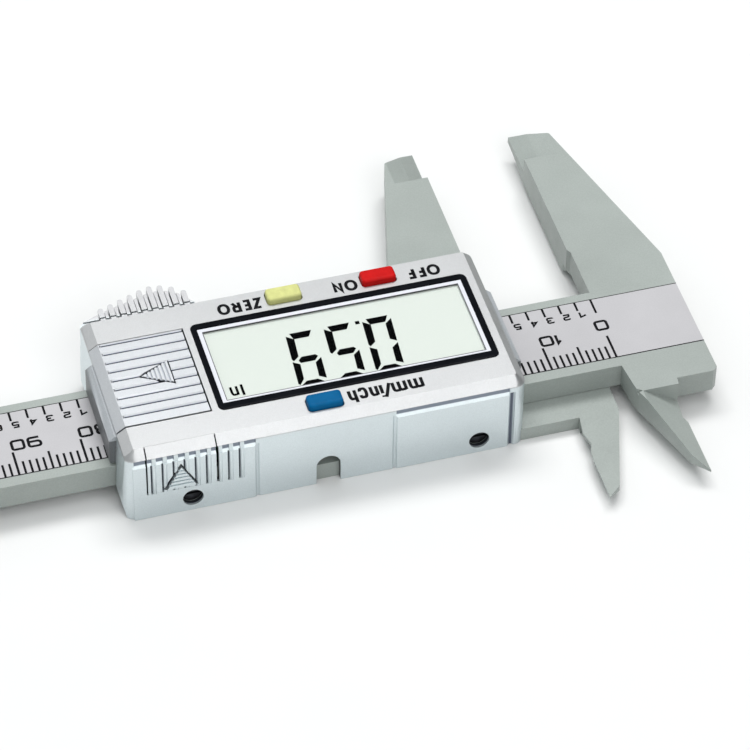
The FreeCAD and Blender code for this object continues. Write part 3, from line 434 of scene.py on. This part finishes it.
def build_materials():
    """A material for each slot of the record, and for the nodes and marks that have their own."""
    materials = {
        "jaw_plastic": jaw_plastic("jaw_plastic"),
        "label_silver": scale_film(),
        "stator": circuit_board("stator", (0.03, 0.16, 0.07)),
        "steel": brushed("steel", (0.56, 0.57, 0.58)),
        "steel_dark": brushed(
            "steel_dark", (0.05, 0.05, 0.055), roughness=0.42, along=(4.0, 4.0, 4.0)),
        "shell_silver": shell_lacquer("shell_silver"),
        "bezel_black": gloss_black(),
        "window_clear": clear_window(),
        "lcd": lcd_cell(),
        "white_plastic": moulded("white_plastic", (0.78, 0.78, 0.75)),
        "elastomer": moulded("elastomer", (0.10, 0.10, 0.11), roughness=0.7),
        "pcb": circuit_board("pcb", (0.02, 0.15, 0.06)),
        "copper": plated("copper", (0.75, 0.50, 0.22)),
        "epoxy_black": moulded(
            "epoxy_black", (0.015, 0.015, 0.016), roughness=0.25, grain_mm=1.2, depth_mm=0.02),
        "can_metal": plated("can_metal", (0.70, 0.70, 0.71)),
        "ceramic_tan": moulded(
            "ceramic_tan", (0.33, 0.22, 0.12), roughness=0.5, grain_mm=0.12),
        "red_plastic": button_plastic("red_plastic", (0.53, 0.008, 0.008)),
        "yellow_plastic": button_plastic("yellow_plastic", (0.61, 0.62, 0.25)),
        "blue_plastic": button_plastic("blue_plastic", (0.0012, 0.105, 0.265)),
        "brass": plated("brass", (0.70, 0.48, 0.18), roughness=0.3),
        "rear_film": moulded(
            "rear_film", (0.60, 0.60, 0.61), roughness=0.5, grain_mm=0.2, depth_mm=0.002),
    }
    materials["slider"] = jaw_plastic("slider_plastic", collars=True)
    materials["battery_door"] = shell_lacquer("door_silver", DOOR_SILVER)
    materials["ink"] = ink("scale_ink")
    materials["lcd_black"] = ink("lcd_black", (0.001, 0.001, 0.0012), specular=0.0)
    materials["margin_white"] = moulded(
        "margin_white", (0.70, 0.71, 0.76),
        roughness=0.35, grain_mm=0.1, depth_mm=0.001, mottle=0.01)
    materials["line_grey"] = ink("line_grey", (0.10, 0.10, 0.11))
    return materials


# ---- CAD nodes ---------------------------------------------------------------------
WELD_MM = 0.0005
BEVEL_ANGLE = 24.0      # edges that turn by less than this many degrees stay as they are
BEVELS = {              # rounding of moulded and machined edges, millimetres
    "beam": 0.12,
    "slider": 0.12,
    "front_cover": 0.07,
    "battery_door": 0.06,
    "port_door": 0.06,
    "display_bezel": 0.05,
    "end_stop": 0.08,
    "depth_rod": 0.08,
    "main_pcb": 0.04,
    "lcd_holder": 0.08,
}


def finish_nodes(materials):
    """Gives each CAD node its own or its slot's material, and rounds its edges."""
    slots = {part["node"]: part["material_slot"] for part in frame["record"]["subparts"]}
    for name, node in NODES.items():
        node.data.materials.clear()
        node.data.materials.append(materials.get(name) or materials[slots[name]])
        width = BEVELS.get(name)
        if width:
            weld = node.modifiers.new("weld", "WELD")
            weld.merge_threshold = WELD_MM * MM
            bevel = node.modifiers.new("edges", "BEVEL")
            bevel.width = width * MM
            bevel.segments = 2
            bevel.limit_method = "ANGLE"
            bevel.angle_limit = math.radians(BEVEL_ANGLE)
            bevel.harden_normals = True


# ---- flat printed marks ------------------------------------------------------------
SHARPEST = 0.4          # keeps the point of a sharp corner short


def place(x, y):
    """A point of the scale, in metres in the frame's X and Y."""
    return ZERO_X + x * MM, EDGE_Y + y * MM


def rounded(points, steps=5):
    """The outline with each (x, y, radius) corner turned into an arc."""
    path = []
    for i, point in enumerate(points):
        here = Vector(point[:2])
        radius = point[2] if len(point) > 2 else 0.0
        if not radius:
            path.append(here)
            continue
        before = (Vector(points[i - 1][:2]) - here).normalized()
        after = (Vector(points[(i + 1) % len(points)][:2]) - here).normalized()
        half = before.angle(after) / 2.0
        centre = here + (before + after).normalized() * radius / math.sin(half)
        start = here + before * radius / math.tan(half) - centre
        end = here + after * radius / math.tan(half) - centre
        turn = start.angle(end)
        for k in range(steps + 1):
            t = k / steps
            swung = start * math.sin((1 - t) * turn) + end * math.sin(t * turn)
            path.append(centre + swung / math.sin(turn))
    return path


class Marks:
    """Collects flat marks into one thin mesh that lies on a surface."""

    def __init__(self, name, surface_z, thickness=INK):
        self.name = name
        self.bm = bmesh.new()
        self.z0 = surface_z
        self.z1 = surface_z + thickness

    def polygon(self, outline):
        """A filled outline, given anticlockwise in scale millimetres."""
        low = [self.bm.verts.new((*place(x, y), self.z0)) for x, y in outline]
        high = [self.bm.verts.new((*place(x, y), self.z1)) for x, y in outline]
        self.bm.faces.new(high)
        self.bm.faces.new(low[::-1])
        for i in range(len(outline)):
            j = (i + 1) % len(outline)
            self.bm.faces.new((low[i], low[j], high[j], high[i]))

    def box(self, x0, x1, y0, y1):
        self.polygon([(x0, y0), (x1, y0), (x1, y1), (x0, y1)])

    def stroke(self, points, width, closed=False):
        """A line of constant width along the points."""
        count = len(points)
        left, right = [], []
        for i, here in enumerate(points):
            before = points[i - 1] if closed or i > 0 else None
            after = points[(i + 1) % count] if closed or i < count - 1 else None
            ways = [(here - before).normalized()] if before is not None else []
            ways += [(after - here).normalized()] if after is not None else []
            sides = [Vector((-way.y, way.x)) for way in ways]
            side = sum(sides, Vector((0.0, 0.0))).normalized()
            reach = width / 2.0 / max(side.dot(sides[0]), SHARPEST)
            left.append(here + side * reach)
            right.append(here - side * reach)
        (top_l, top_r), (low_l, low_r) = [
            [[self.bm.verts.new((*place(*p), z)) for p in line] for line in (left, right)]
            for z in (self.z1, self.z0)]
        for i in range(count if closed else count - 1):
            j = (i + 1) % count
            self.bm.faces.new((top_l[i], top_r[i], top_r[j], top_l[j]))
            self.bm.faces.new((low_l[i], low_l[j], low_r[j], low_r[i]))
            self.bm.faces.new((top_l[i], top_l[j], low_l[j], low_l[i]))
            self.bm.faces.new((top_r[i], low_r[i], low_r[j], top_r[j]))
        if not closed:
            self.bm.faces.new((top_l[0], low_l[0], low_r[0], top_r[0]))
            self.bm.faces.new((top_l[-1], top_r[-1], low_r[-1], low_l[-1]))

    def text(self, string, x0, x1, y0, height, weight, gap):
        """Lettering from x0 to x1 whose base line is at y0."""
        widths = [GLYPHS[letter][0] for letter in string]
        unit = (x1 - x0 - gap * (len(string) - 1)) / sum(widths)
        x = x0
        for letter, share in zip(string, widths):
            width = share * unit
            for strokes in GLYPHS[letter][1:]:
                closed, *points = strokes
                path = [Vector((x + weight / 2.0 + p.x * (width - weight),
                                y0 + weight / 2.0 + p.y * (height - weight)))
                        for p in rounded(points)]
                self.stroke(path, weight, closed)
            x += width + gap

    def done(self, body, material):
        mesh = bpy.data.meshes.new(self.name)
        bmesh.ops.recalc_face_normals(self.bm, faces=self.bm.faces[:])
        self.bm.to_mesh(mesh)
        self.bm.free()
        piece = bpy.data.objects.new(self.name, mesh)
        bpy.context.scene.collection.objects.link(piece)
        mesh.materials.append(material)
        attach(piece, body)


OPEN, RING = False, True
R = 0.2                 # usual corner radius of the letters
# Letters as strokes in a unit square: width, then strokes of (ring or open, points ...),
# whose points are (x, y) or, where the corner is rounded, (x, y, radius).
GLYPHS = {
    "0": (1.0, (RING, (0, 0, R), (1, 0, R), (1, 1, R), (0, 1, R))),
    "1": (0.42, (OPEN, (0, 0.7), (1, 1), (1, 0))),
    "2": (1.0, (OPEN, (0, 0.8), (0, 1, 0.18), (1, 1, R), (1, 0.52, 0.22), (0, 0.4, 0.22),
                (0, 0), (1, 0))),
    "3": (1.0, (OPEN, (0, 0.85), (0, 1, 0.14), (1, 1, 0.22), (1, 0.52, 0.2), (0.3, 0.52)),
          (OPEN, (1, 0.42), (1, 0, R), (0, 0, 0.14), (0, 0.17))),
    "4": (1.0, (OPEN, (0.72, 0), (0.72, 1), (0, 0.32), (1, 0.32))),
    "5": (1.0, (OPEN, (0.95, 1), (0.08, 1), (0.04, 0.56), (1, 0.56, 0.22), (1, 0, R),
                (0, 0, 0.14), (0, 0.15))),
    "6": (1.0, (OPEN, (0.95, 1), (0, 1, R), (0, 0, R), (1, 0, R), (1, 0.56, 0.24), (0.05, 0.56))),
    "7": (0.9, (OPEN, (0, 1), (1, 1), (0.35, 0))),
    "8": (1.0, (RING, (0, 0, R), (1, 0, R), (1, 0.52, 0.2), (0, 0.52, 0.2)),
          (OPEN, (0.06, 0.6), (0.06, 1, 0.2), (0.94, 1, 0.2), (0.94, 0.6))),
    "9": (1.0, (OPEN, (0.05, 0), (1, 0, R), (1, 1, R), (0, 1, R), (0, 0.44, 0.24), (0.95, 0.44))),
    "O": (1.5, (RING, (0, 0, 0.46), (1, 0, 0.46), (1, 1, 0.46), (0, 1, 0.46))),
    "F": (1.0, (OPEN, (0, 0), (0, 1), (1, 1)), (OPEN, (0, 0.5), (0.86, 0.5))),
    "N": (1.12, (OPEN, (0, 0), (0, 1), (1, 0), (1, 1))),
    "Z": (1.12, (OPEN, (0, 1), (1, 1), (0, 0), (1, 0))),
    "E": (1.0, (OPEN, (1, 1), (0, 1), (0, 0), (1, 0)), (OPEN, (0, 0.52), (0.88, 0.52))),
    "R": (1.15, (OPEN, (0, 0), (0, 1), (0.94, 1, 0.22), (0.94, 0.46, 0.22), (0, 0.46)),
          (OPEN, (0.5, 0.46), (1, 0))),
    "m": (1.9, (OPEN, (0, 0), (0, 0.74)), (OPEN, (0, 0.68), (0.5, 0.7, 0.16), (0.5, 0)),
          (OPEN, (0.5, 0.7), (1, 0.7, 0.16), (1, 0))),
    "n": (1.12, (OPEN, (0, 0), (0, 0.74)), (OPEN, (0, 0.68), (1, 0.7, 0.3), (1, 0))),
    "h": (1.12, (OPEN, (0, 0), (0, 1)), (OPEN, (0, 0.68), (1, 0.7, 0.3), (1, 0))),
    "i": (0.3, (OPEN, (0.5, 0), (0.5, 0.7)), (OPEN, (0.5, 0.87), (0.5, 1))),
    "c": (1.15, (OPEN, (1, 0.5), (1, 0.7, 0.18), (0, 0.7, 0.34), (0, 0, 0.34), (1, 0, 0.18),
                 (1, 0.2))),
    "/": (0.7, (OPEN, (-1, -0.04), (2, 1.04))),
}


MM_LINES = (            # one line to so many millimetres, its length, its width
    (10, 4.7, 0.36),
    (5, 3.6, 0.34),
    (1, 2.6, 0.34),
)
NUMERAL_WEIGHT = 0.42
NUMERAL_SIZE = 2.15
NUMERAL_GAP = 0.3
NUMERAL_Y = -7.05       # base line of the centimetres' numbers, which end just past their line
NUMERAL_PAST = 0.05
ZERO_Y = -8.1           # the zero stands lower, over its line
ZERO_SHIFT = 0.1
EDGE_LINE = 0.15        # width of the line along the film's edge

TENTH = 2.54            # a tenth of an inch
TENTH_LINE = 1.85       # length of its line
INCH_LINE = 3.0
TENTH_LINE_W = 0.34
TENTH_EDGE_LINE = 0.09
TENTH_DIGIT_Y = -10.65
TENTH_DIGIT_H = 1.3
TENTH_DIGIT_WEIGHT = 0.3
TENTH_DIGIT_X = (-1.08, 0.06)       # from and to, beside the tenth's line

LETTER_WEIGHT = 0.5
COVER_WORDS = [         # word, from x, to x, base line y, height, gap
    ("OFF", 21.95, 27.05, -19.55, 2.3, 0.26),
    ("ON", 34.65, 38.35, -19.55, 2.3, 0.3),
    ("ZERO", 49.25, 55.95, -19.55, 2.3, 0.24),
    ("mm/inch", 30.97, 42.27, 2.5, 2.95, 0.26),
]


def mm_line(mm):
    """Length and width of a millimetre line."""
    return next((length, width) for step, length, width in MM_LINES if mm % step == 0)


def mm_scale(materials):
    """Millimetre lines, with a number at each centimetre."""
    marks = Marks("scale_mm_marks", LABEL_TOP)
    for mm in range(RANGE + 1):
        length, width = mm_line(mm)
        marks.box(mm - width / 2.0, mm + width / 2.0, -length, -EDGE_LINE)
    half = NUMERAL_SIZE / 2.0
    marks.text("0", -half + ZERO_SHIFT, half + ZERO_SHIFT, ZERO_Y,
               NUMERAL_SIZE, NUMERAL_WEIGHT, NUMERAL_GAP)
    for mm in range(10, RANGE + 1, 10):
        digits = str(mm)
        span = sum(GLYPHS[d][0] for d in digits) * NUMERAL_SIZE + NUMERAL_GAP * (len(digits) - 1)
        marks.text(digits, mm + NUMERAL_PAST - span, mm + NUMERAL_PAST, NUMERAL_Y,
                   NUMERAL_SIZE, NUMERAL_WEIGHT, NUMERAL_GAP)
    marks.box(-SCALE_START, LABEL_LENGTH - SCALE_START, -EDGE_LINE, 0.0)
    marks.done("beam", materials["ink"])


def inch_scale(materials):
    """Tenths of an inch, numbered one to nine in each inch."""
    marks = Marks("scale_inch_marks", LABEL_TOP)
    edge = -LABEL_WIDTH
    for i in range(int(RANGE / TENTH) + 1):
        x = i * TENTH
        length = TENTH_LINE if i % 10 else INCH_LINE
        marks.box(x - TENTH_LINE_W / 2.0, x + TENTH_LINE_W / 2.0,
                  edge + TENTH_EDGE_LINE, edge + length)
        if i % 10:
            marks.text(str(i % 10), x + TENTH_DIGIT_X[0], x + TENTH_DIGIT_X[1], TENTH_DIGIT_Y,
                       TENTH_DIGIT_H, TENTH_DIGIT_WEIGHT, 0.0)
    marks.box(-SCALE_START, LABEL_LENGTH - SCALE_START, edge, edge + TENTH_EDGE_LINE)
    marks.done("beam", materials["ink"])


def cover_lettering(materials):
    """Generic words beside the buttons."""
    marks = Marks("cover_lettering", COVER_TOP)
    for word, x0, x1, y0, height, gap in COVER_WORDS:
        marks.text(word, x0, x1, y0, height, LETTER_WEIGHT, gap)
    marks.done("head", materials["ink"])


# ---- display -----------------------------------------------------------------------
DIGIT_W = 4.25
DIGIT_H = 10.25
DIGIT_SLANT = 0.078
DIGIT_BASE = -11.02
DIGIT_STRETCH = 1.04    # the digits are this much taller than their outlines
BAR_SWELL = 0.04        # and each side of a bar stands this far out from its outline
READING = (("0", 31.8), ("5", 37.64), ("9", 43.38))     # digit, place of its left edge
POINT_X = (36.5, 37.15)
POINT_H = 0.62
UNIT_Y = -2.9           # base line of the unit, "in", which has no dot
UNIT_I = (56.3, 56.68, UNIT_Y, -0.75)
UNIT_N = (57.1, 58.3)
UNIT_N_H = 2.7          # height of a capital to go with the unit's n
UNIT_WEIGHT = 0.36
VIEW_AREA = (20.37, 59.24, -14.45, -0.03)       # opening in the white margin: x0, x1, y0, y1
FINE_LINE = 0.12
SEGMENTS = {            # outlines of the seven bars, from the digit's lower left corner
    "top": [(1.35, 9.6), (2.95, 9.6), (3.75, DIGIT_H), (0.5, DIGIT_H)],
    "bottom": [(0.45, 0), (3.6, 0), (3.2, 1.1), (0.95, 1.1)],
    "middle": [(0.45, 5.2), (0.75, 4.85), (2.8, 4.85), (3.3, 5.45), (3.1, 5.9), (1.0, 5.9)],
    "upper_left": [(0.05, 5.65), (0.95, 6.4), (1.0, 9.05), (0.05, 9.6)],
    "lower_left": [(0, 0.75), (0.92, 1.55), (0.95, 4.6), (0.06, 5.15)],
    "upper_right": [(DIGIT_W, 5.6), (DIGIT_W, 9.8), (4.05, 10.05), (3.35, 9.05), (3.3, 6.2)],
    "lower_right": [(DIGIT_W, 0.45), (DIGIT_W, 4.95), (4.05, 5.3), (3.25, 4.6), (3.2, 1.2)],
}
LIT = {
    "0": ("top", "bottom", "upper_left", "lower_left", "upper_right", "lower_right"),
    "5": ("top", "bottom", "middle", "upper_left", "lower_right"),
    "9": ("top", "bottom", "middle", "upper_left", "upper_right", "lower_right"),
}


def display_digits(materials):
    """The reading: three seven-bar digits, a point and the unit."""
    marks = Marks("display_digits", LCD_TOP + INK, thickness=2.0 * INK)
    for digit, x0 in READING:
        for bar in LIT[digit]:
            outline = [(x0 + x + DIGIT_SLANT * y, DIGIT_BASE + DIGIT_STRETCH * y)
                       for x, y in SEGMENTS[bar]]
            marks.polygon(swollen(anticlockwise(outline), BAR_SWELL))
    marks.box(*POINT_X, DIGIT_BASE, DIGIT_BASE + POINT_H)
    marks.box(*UNIT_I)
    marks.text("n", *UNIT_N, UNIT_Y, UNIT_N_H, UNIT_WEIGHT, 0.0)
    marks.done("head", materials["lcd_black"])


def anticlockwise(outline):
    """The outline in anticlockwise order."""
    area = sum(a[0] * b[1] - b[0] * a[1] for a, b in zip(outline, outline[1:] + outline[:1]))
    return outline if area > 0 else outline[::-1]


def swollen(outline, by):
    """An anticlockwise outline with each side moved out by the distance."""
    points = [Vector(p) for p in outline]
    grown = []
    for i, here in enumerate(points):
        before = (here - points[i - 1]).normalized()
        after = (points[(i + 1) % len(points)] - here).normalized()
        side = Vector((before.y, -before.x))
        out = (side + Vector((after.y, -after.x))).normalized()
        grown.append(here + out * by / out.dot(side))
    return grown


def display_border(materials):
    """White margin printed on the window, and the fine line inside it."""
    low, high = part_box("display_window")
    x0, x1 = (low.x - ZERO_X) / MM, (high.x - ZERO_X) / MM
    y0, y1 = (low.y - EDGE_Y) / MM, (high.y - EDGE_Y) / MM
    in_x0, in_x1, in_y0, in_y1 = VIEW_AREA
    margin = Marks("display_margin", WINDOW_TOP)
    margin.box(x0, x1, y0, in_y0)
    margin.box(x0, x1, in_y1, y1)
    margin.box(x0, in_x0, in_y0, in_y1)
    margin.box(in_x1, x1, in_y0, in_y1)
    margin.done("head", materials["margin_white"])
    line = Marks("display_line", WINDOW_TOP, thickness=1.5 * INK)
    corners = [(in_x0, in_y0), (in_x1, in_y0), (in_x1, in_y1), (in_x0, in_y1)]
    line.stroke([Vector(c) for c in corners], FINE_LINE, closed=True)
    line.done("head", materials["line_grey"])


# ---- studio ------------------------------------------------------------------------
VIEW_TARGET = Vector((-74.34, 15.87, 13.2)) * MM
VIEW_DISTANCE = 580.4 * MM
VIEW_AZIMUTH = 73.43
VIEW_ELEVATION = 44.96
VIEW_ROLL = 0.788
VIEW_LENS = 192.97
SENSOR_WIDTH = 36.0
CLIP = (0.02, 20.0)     # metres

LIGHTS = [              # name, azimuth, elevation, distance in metres, size in metres, watts
    ("front_light", 102.0, 44.0, 1.1, (0.7, 0.6), 3.7),
    ("far_light", 258.0, 64.0, 1.2, (1.0, 0.35), 8.5),
    ("top_light", 0.0, 88.0, 1.3, (1.2, 1.2), 5.3),
    ("side_light", 310.0, 27.0, 1.3, (0.8, 0.6), 1.1),
]
ROOM_TINT = (0.93, 0.985, 1.0)
ROOM_STRENGTH = (0.14, 0.46)    # the room is darker on the side of the jaws
ROOM_TURN = (-0.8, 0.3)         # and turns lighter between these X of the view's direction
FLOOR_SIDE = 3.0                # half the floor's width, metres
FLOOR_GAP = 0.05                # keeps the floor just clear of the flat back
FLOOR_PAPER = ((0.79, 0.79, 0.785), (0.805, 0.805, 0.80))


def direction(azimuth, elevation):
    """The way from the view's target to the azimuth and elevation, in degrees."""
    a, e = math.radians(azimuth), math.radians(elevation)
    return Vector((math.cos(e) * math.cos(a), math.cos(e) * math.sin(a), math.sin(e)))


def add_camera():
    data = bpy.data.cameras.new("camera")
    data.lens = VIEW_LENS
    data.sensor_width = SENSOR_WIDTH
    data.clip_start, data.clip_end = CLIP
    camera = bpy.data.objects.new("camera", data)
    bpy.context.scene.collection.objects.link(camera)
    away = direction(VIEW_AZIMUTH, VIEW_ELEVATION)
    camera.location = VIEW_TARGET + away * VIEW_DISTANCE
    turn = away.to_track_quat("Z", "Y")
    camera.rotation_mode = "QUATERNION"
    camera.rotation_quaternion = turn @ Quaternion((0, 0, 1), math.radians(VIEW_ROLL))
    bpy.context.scene.camera = camera


def add_light(name, azimuth, elevation, distance, size, power):
    data = bpy.data.lights.new(name, "AREA")
    data.shape = "RECTANGLE"
    data.size, data.size_y = size
    data.energy = power
    light = bpy.data.objects.new(name, data)
    bpy.context.scene.collection.objects.link(light)
    towards = direction(azimuth, elevation)
    light.location = VIEW_TARGET + towards * distance
    light.rotation_mode = "QUATERNION"
    light.rotation_quaternion = towards.to_track_quat("Z", "Y")


def add_room():
    world = bpy.data.worlds.new("studio")
    world.use_nodes = True
    nodes, links = world.node_tree.nodes, world.node_tree.links
    sky = nodes["Background"]
    sky.inputs["Color"].default_value = (*ROOM_TINT, 1.0)
    way = nodes.new("ShaderNodeTexCoord")
    split = nodes.new("ShaderNodeSeparateXYZ")
    fall = nodes.new("ShaderNodeMapRange")
    fall.inputs["From Min"].default_value = ROOM_TURN[0]
    fall.inputs["From Max"].default_value = ROOM_TURN[1]
    fall.inputs["To Min"].default_value = ROOM_STRENGTH[0]
    fall.inputs["To Max"].default_value = ROOM_STRENGTH[1]
    links.new(way.outputs["Generated"], split.inputs["Vector"])
    links.new(split.outputs["X"], fall.inputs["Value"])
    links.new(fall.outputs["Result"], sky.inputs["Strength"])
    bpy.context.scene.world = world


def add_floor():
    mesh = bpy.data.meshes.new("floor")
    bm = bmesh.new()
    side = FLOOR_SIDE
    level = cad_box[0][2] - FLOOR_GAP * MM
    corners = ((-side, -side), (side, -side), (side, side), (-side, side))
    bm.faces.new([bm.verts.new((x, y, level)) for x, y in corners])
    bm.to_mesh(mesh)
    bm.free()
    floor = bpy.data.objects.new("floor", mesh)
    bpy.context.scene.collection.objects.link(floor)
    s = Shader("floor_paper", (0.9, 0.9, 0.9), 0.8)
    s.feed("Base Color", s.ramp(s.noise(30.0), (0.3, FLOOR_PAPER[0]), (0.7, FLOOR_PAPER[1])))
    mesh.materials.append(s.material)


# ---- the scene ---------------------------------------------------------------------
materials = build_materials()
finish_nodes(materials)
mm_scale(materials)
inch_scale(materials)
cover_lettering(materials)
display_digits(materials)
display_border(materials)
add_camera()
add_room()
for light in LIGHTS:
    add_light(*light)
add_floor()
bpy.context.scene.view_settings.view_transform = "Standard"
